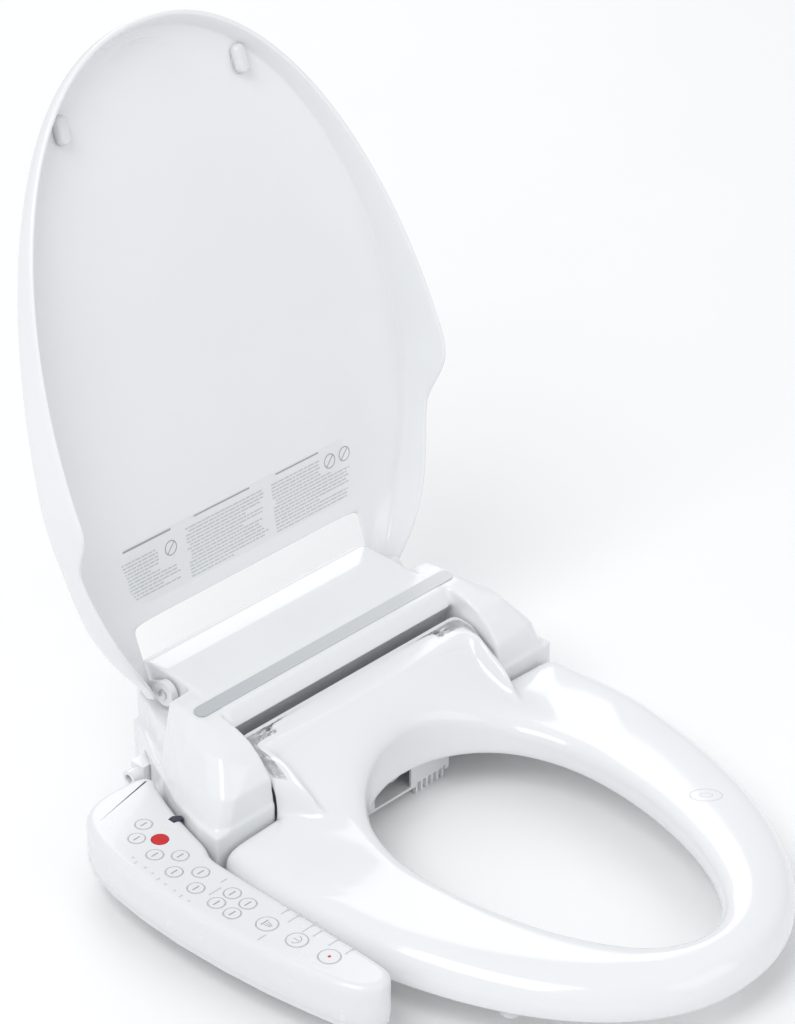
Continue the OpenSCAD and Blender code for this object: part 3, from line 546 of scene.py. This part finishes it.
# ---------------- seat ----------------
RAMP, CROWN, SW, STIP = 88.0, 40.0, 187.5, 476.0
seat_zm = smooth_table([(76, RAMP), (84, 86.5), (100, 80.6), (112, 75), (123, 69.5), (136, 63.3), (150, 57.3), (165, 52), (180, 47.8), (200, 44.3), (225, CROWN + 1.6), (260, CROWN + 0.4), (300, CROWN), (430, CROWN - 1.2)])
seat_side = smooth_table([(76, 0), (88, 2), (100, 6), (112, 11), (123, 15.5), (136, 15.8), (150, 13.3), (165, 9.5), (180, 6), (200, 2.5), (222, 0), (500, 0)])
seat_low = smooth_table([(76, 74), (98, 71.6), (104, 66), (122, 55), (123.6, 54), (124.6, 8), (600, 8)])


def seat_c(x, y):
    t = abs(x) / 120
    return seat_zm(-y) - seat_side(-y) * (t**2.2 if t <= 1 else 1 + 0.35 * (t - 1))


rear_pts = [(0, -76), (20, -76), (40, -76), (60, -76), (80, -76), (97, -76), (112, -76), (118, -77), (119.4, -82), (119.4, -89), (119.4, -96), (119.4, -104), (119.4, -112), (119.6, -122), (121.5, -125.4), (130, -125.5), (140, -125.6), (153, -125.7), (165, -125.8), (176, -126.6), (180.5, -131), (183, -140), (184.8, -150), (186.2, -162)]
rear_hin = [0, 6, 12, 18, 24, 29.5, 34, 38, 41, 43, 45, 47, 49, 53, 56, 58.2, 60.5, 63.5, 66, 70, 74, 78, 82.5, 87]
NR = len(rear_pts)
NCAP = 38


def seat_O(k):
    if k < NR:
        return rear_pts[k]
    a = math.radians(90 * (k - NR) / NCAP)
    return (0.0 if k == NR + NCAP else SW * math.cos(a) ** 0.92, -175 - (STIP - 175) * math.sin(a))


def seat_I(k):
    h = rear_hin[k] if k < NR else 91.5 + 88.5 * (k - NR) / NCAP
    c, s = math.cos(math.radians(h)), math.sin(math.radians(h))
    return (0.0 if k == NR + NCAP or k == 0 else 93 * s * (1 + 0.2 * c + 0.07 * c * c), -285 + 149 * c)


SSEC = [(-1, 1.6, 0, 0, 17), (-1, 0.2, 0, 0, 20.5), (-1, 0, 0, 0, 24.5), (-1, 1.2, 0, -11, 0), (-1, 4.0, 0, -6.2, 0), (-1, 8.5, 0, -3.2, 0), (-1, 15, 0, -1.2, 0), (0.42, 0, 0, -0.2, 0), (0.54, 0, 0, 0, 0), (0.66, 0, 0, -0.2, 0),
        (2, 0, 26, -1.3, 0), (2, 0, 16, -3.6, 0), (2, 0, 9, -7, 0), (2, 0, 4, -11.5, 0), (2, 0, 1, -17, 0), (2, 0, 0, -22, 0), (2, 0, 0.1, -27, 1), (2, 0, 1.0, 0, 8)]


def seat_point(k, j, layer):
    O, I, c = seat_O(k), seat_I(k), SSEC[j]
    t = layer * 3.0
    dx, dy = O[0] - I[0], O[1] - I[1]
    L = math.hypot(dx, dy)
    ux, uy = dx / L, dy / L
    sc = min(1, L / 62)
    if c[0] == -1:
        r = c[1] * sc + t
    elif c[0] == 2:
        r = L - c[2] * sc - t
    else:
        r = mix(15 * sc + t, L - 26 * sc - t, (c[0] - 0.3) / 0.5)
    x, y = I[0] + ux * r, I[1] + uy * r
    low = seat_low(-O[1])
    if c[4] > 1:
        z = low if c[0] == 2 else c[4]
        return (x, y, z)
    zc = seat_c(x, y) + c[3] - (t if c[0] != 2 or c[2] > 3 else 0)
    if c[0] == 2:
        lim = low + (4 if c[4] == 1 else 6) - (0 if c[2] > 3 else 0)
        zc = max(zc, lim + (26 - c[2]) * 0.0)
    else:
        zc = max(zc, 26)
    return (x, y, zc)


def build_seat():
    K = NR + NCAP
    U = 2 * K
    J = len(SSEC)
    verts, faces = [], []
    for layer in (0, 1):
        for u in range(U):
            k = u if u <= K else U - u
            s = 1 if u <= K else -1
            for j in range(J):
                p = seat_point(k, j, layer)
                verts.append((s * p[0], p[1], p[2]))
    idx = lambda u, j, w: w * U * J + (u % U) * J + j
    for u in range(U):
        for j in range(J - 1):
            for w in (0, 1):
                faces.append([idx(u, j, w), idx(u + 1, j, w), idx(u + 1, j + 1, w), idx(u, j + 1, w)])
        for j in (0, J - 1):
            faces.append([idx(u, j, 0), idx(u + 1, j, 0), idx(u + 1, j, 1), idx(u, j, 1)])
    return subsurf(new_mesh("seat_ring", verts, faces), 2)


seat = dress(build_seat(), M["seat_white"], "seat", "seat_top_shell")
seat_tree = BVHTree.FromPolygons([v.co for v in seat.data.vertices], [tuple(p.vertices) for p in seat.data.polygons])


def on_seat(x, y, lift):
    hit = seat_tree.ray_cast(Vector((x * MM, y * MM, 0.2)), Vector((0, 0, -1)))
    return (x, y, hit[0].z / MM + lift)


# a plain oval mark on the ring, in place of the maker's
mark = ring_strip(116.7, -335.8, 11.8, 12.4, 64, 1.0, 0.62, math.radians(-45))
mark += ring_strip(116.7, -335.8, 4.6, 5.1, 40, 1.0, 0.5, math.radians(-45))
quads("seat_mark", mark, lambda x, y, l: on_seat(x, y, l), INK_PALE, "seat", 0.05, 0.03)


# ---------------- body cover ----------------
def prism(name, x0, x1, line):
    n = len(line)
    verts = [(x * MM, y * MM, z * MM) for x in (x0, x1) for y, z in line]
    faces = [list(range(n))[::-1], list(range(n, 2 * n))]
    faces += [[i, (i + 1) % n, n + (i + 1) % n, n + i] for i in range(n)]
    me = bpy.data.meshes.new(name)
    me.from_pydata(verts, [], faces)
    return me


def soften(node, name, voxel, smooth_iter, mat, body="body", extra=()):
    src = N[node]
    ob = bpy.data.objects.new(name, src.data.copy())
    scene.collection.objects.link(ob)
    bm = bmesh.new()
    bm.from_mesh(ob.data)
    for me in extra:
        bm.from_mesh(me)
    bmesh.ops.recalc_face_normals(bm, faces=bm.faces)
    bm.to_mesh(ob.data)
    bm.free()
    m = ob.modifiers.new("remesh", "REMESH")
    m.mode = "VOXEL"
    m.voxel_size = voxel
    m.use_smooth_shade = True
    s = ob.modifiers.new("smooth", "SMOOTH")
    s.factor = 0.5
    s.iterations = smooth_iter
    apply_mods(ob)
    for p in ob.data.polygons:
        p.use_smooth = True
    return dress(ob, mat, body, node)


SEAT_AX = (-92, 66)
BRIDGE = [(-27, 50), (-27, 101.3), (-42, 102.7), (-65, 100.2), (-70.5, 93)] + [(SEAT_AX[0] + 29.5 * math.cos(math.radians(a)), SEAT_AX[1] + 29.5 * math.sin(math.radians(a))) for a in range(48, -51, -7)] + [(-73, 50)]
soften("body_top_cover", "body_cover", 0.0013, 9, M["body_white"], extra=[prism("bridge_r", 114, 124, BRIDGE), prism("bridge_l", -124, -114, BRIDGE)])

# ---------------- control arm ----------------
ARM = [(-160, -19), (-185, -15), (-205, -17), (-222, -26), (-234, -46), (-241, -75), (-245, -110), (-246, -150), (-244, -195), (-240, -235), (-234, -272), (-229, -298), (-222, -312), (-211, -319), (-201, -318), (-194, -311), (-192, -298), (-191.8, -250), (-191.8, -200), (-191.8, -150), (-190.5, -128), (-185, -116), (-181.5, -104), (-177.5, -88), (-170, -62), (-160, -36), (-155.5, -27)]


def closed_spline(pts, per):
    n = len(pts)
    out = []
    for i in range(n):
        p0, p1, p2, p3 = (Vector(pts[(i + k) % n]) for k in (-1, 0, 1, 2))
        d1 = (p2 - p1).length ** 0.5
        d0, d2 = (p1 - p0).length ** 0.5, (p3 - p2).length ** 0.5
        m1 = (p1 - p0) / d0 - (p2 - p0) / (d0 + d1) + (p2 - p1) / d1
        m2 = (p2 - p1) / d1 - (p3 - p1) / (d1 + d2) + (p3 - p2) / d2
        m1, m2 = m1 * d1, m2 * d1
        for q in range(per):
            t = q / per
            out.append((2 * t**3 - 3 * t**2 + 1) * p1 + (t**3 - 2 * t**2 + t) * m1 + (-2 * t**3 + 3 * t**2) * p2 + (t**3 - t**2) * m2)
    return out


arm_line = closed_spline(ARM, 6)


def arm_ring(inset):
    n = len(arm_line)
    out = []
    for i, p in enumerate(arm_line):
        t = (arm_line[(i + 1) % n] - arm_line[i - 1]).normalized()
        nrm = Vector((-t.y, t.x))
        out.append(p + nrm * inset)
    return out


def turn():
    a = sum(arm_line[i].x * arm_line[(i + 1) % len(arm_line)].y - arm_line[(i + 1) % len(arm_line)].x * arm_line[i].y for i in range(len(arm_line)))
    return 1 if a > 0 else -1


SIGN = turn()


def loft(name, prof):
    verts, faces = [], []
    n = len(arm_line)
    for inset, z in prof:
        for p in arm_ring(inset * SIGN):
            verts.append((p.x, p.y, z))
    for k in range(len(prof) - 1):
        for i in range(n):
            faces.append([k * n + i, k * n + (i + 1) % n, (k + 1) * n + (i + 1) % n, (k + 1) * n + i])
    faces.append(list(range(n)))
    faces.append([(len(prof) - 1) * n + i for i in range(n)])
    return new_mesh(name, verts, faces)


def tube_cutter(name, items, z0, z1):
    verts, faces = [], []
    for x, y, r in items:
        n = 56
        o = len(verts)
        for z in (z0, z1):
            for i in range(n):
                a = 2 * math.pi * i / n
                verts.append((x + r * math.cos(a), y + r * math.sin(a), z))
        faces += [list(range(o, o + n)), list(range(o + n, o + 2 * n))]
        for i in range(n):
            faces.append([o + i, o + (i + 1) % n, o + n + (i + 1) % n, o + n + i])
    return new_mesh(name, verts, faces, smooth=False)


KEYS = [("key_power", -204, -87, 6.6), ("key_night", -200, -65, 6.6), ("key_eco", -215, -74, 6.6), ("key_seat_temp", -219, -98, 6.6), ("key_water_temp", -207, -112, 6.6),
        ("key_air_temp", -223, -123, 6.6), ("key_pressure", -210, -137, 6.6), ("key_position", -225, -148, 6.6), ("key_plus", -211, -171, 6.6), ("key_minus", -226.4, -171, 6.6),
        ("key_forward", -211.5, -187.6, 6.6), ("key_back", -226.8, -187.6, 6.6), ("key_rear_wash", -218, -214, 8.3), ("key_front_wash", -216, -242, 8.3), ("key_stop", -213, -271, 8.3)]
LENS = [(-232, -89), (-234, -104), (-235, -113), (-237, -129), (-237.5, -139), (-238.5, -155)]
TOP = 41.0
panel = loft("panel_shell", [(0.2, 8.0), (0, 8.6), (0, 18), (0, 30), (0.1, 35), (0.6, 37.2), (1.7, 39.0), (3.2, 40.2), (5.0, 40.85), (7.0, 41.0), (8.5, 41.0)])
inner = loft("cut_inner", [(3.0, 7.0), (3.0, 37.0), (4.0, 37.9)])
win = [(-178.5 + a, -76.5 + b) for a, b in ((-5, -3.2), (4, -4.2), (5, 0), (0, 4), (-5, 3.4))]
wv = [(x, y, z) for z in (33, 45) for x, y in win]
window_cut = new_mesh("cut_window", wv, [list(range(5)), list(range(5, 10))] + [[i, (i + 1) % 5, 5 + (i + 1) % 5, 5 + i] for i in range(5)], smooth=False)
holes = tube_cutter("cut_holes", [(x, y, r + 0.25) for _, x, y, r in KEYS] + [(x, y, 1.1) for x, y in LENS], 33, 45)
for c in (inner, holes, window_cut):
    m = panel.modifiers.new("cut", "BOOLEAN")
    m.operation = "DIFFERENCE"
    m.solver = "EXACT"
    m.object = c
apply_mods(panel)
for c in (inner, holes, window_cut):
    bpy.data.objects.remove(c)
smooth_by_angle(panel, 28)
dress(panel, M["panel_white"], "body", "panel_cover")


def on_top(z):
    return lambda x, y, l: (x, y, z + l)


# printed rings, icons and captions: generic shapes only
for i, (name, x, y, r) in enumerate(KEYS):
    q = ring_strip(x, y, r - 0.75, r - 0.28, 56)
    if name == "key_power":
        quads("print_" + name, ring_strip(x, y, r - 0.5, r - 0.1, 56), on_top(41.15), M["key_red"], name, 0.03, 0.01)
        continue
    if r < 8:
        q += [line_quad(x - 3.3, y + 0.0, x + 3.1, y + 0.0, 1.1)]
    elif name == "key_rear_wash":
        for dx in (-2.2, 0, 2.2):
            q += [line_quad(x + dx * 0.4, y - 4.2, x + dx, y + 1.2, 0.55)]
        q += [line_quad(x - 3.6, y + 2.6, x + 3.6, y + 2.6, 1.0)]
    elif name == "key_front_wash":
        for a in range(10):
            a0, a1 = math.pi * (1 + a / 10), math.pi * (1 + (a + 1) / 10)
            q += [line_quad(x + 4.3 * math.cos(a0), y + 1.5 + 4.3 * math.sin(a0), x + 4.3 * math.cos(a1), y + 1.5 + 4.3 * math.sin(a1), 0.6)]
        q += [line_quad(x, y - 1.6, x, y + 3.4, 0.6)]
    quads("print_" + name, q, on_top(41.15), INK_SOFT, name, 0.03, 0.01)
    if name == "key_stop":
        quads("dot_" + name, [[(x + 1.3 * math.cos(2 * math.pi * k / 24), y + 1.3 * math.sin(2 * math.pi * k / 24)) for k in range(24)]], on_top(41.15), M["key_red"], name, 0.03, 0.01)
caps_q = []
for x, y, w in ((-200, -223, 13), (-199, -213, 9), (-199.5, -238, 16), (-201, -247, 9), (-199, -262, 12), (-199, -277, 9), (-231, -222, 8), (-218, -160.5, 12), (-235, -95, 3.4), (-236.6, -121, 3.4), (-238.6, -147, 3.4), (-205, -156, 6)):
    caps_q += [line_quad(x - w / 2, y, x + w / 2, y, 1.2)]
quads("panel_captions", caps_q, on_top(41.0), INK_PALE, "body", 0.03, 0.01)

# ---------------- floor and light ----------------
lo = CAD_BOX[0]
bpy.ops.mesh.primitive_plane_add(size=14, location=(0, 0, lo[2] - 0.0006))
floor = bpy.context.object
floor.name = "floor"
fm = plastic("floor_white", (0.93, 0.93, 0.93), 0.7, 0.1, 3, 0.0, tint=0.004)
floor.data.materials.append(fm)

w = bpy.data.worlds.new("world")
scene.world = w
w.use_nodes = True
w.node_tree.nodes["Background"].inputs["Color"].default_value = (0.97, 0.985, 1.0, 1)
w.node_tree.nodes["Background"].inputs["Strength"].default_value = 0.68


def area(name, loc, target, size, power, size_y=None):
    d = bpy.data.lights.new(name, "AREA")
    d.energy = power
    d.size = size
    if size_y:
        d.shape = "RECTANGLE"
        d.size_y = size_y
    o = bpy.data.objects.new(name, d)
    scene.collection.objects.link(o)
    o.location = loc
    o.rotation_euler = (Vector(target) - Vector(loc)).to_track_quat("-Z", "Y").to_euler()
    return o


area("key", (-1.6, -0.4, 2.4), (0, -0.15, 0.15), 1.6, 31)
area("back", (1.4, 1.8, 1.9), (0, -0.1, 0.2), 1.8, 17)
area("front", (0.6, -2.6, 1.6), (0, -0.2, 0.1), 1.8, 9)
scene.view_settings.view_transform = "Standard"
scene.view_settings.exposure = 0.0
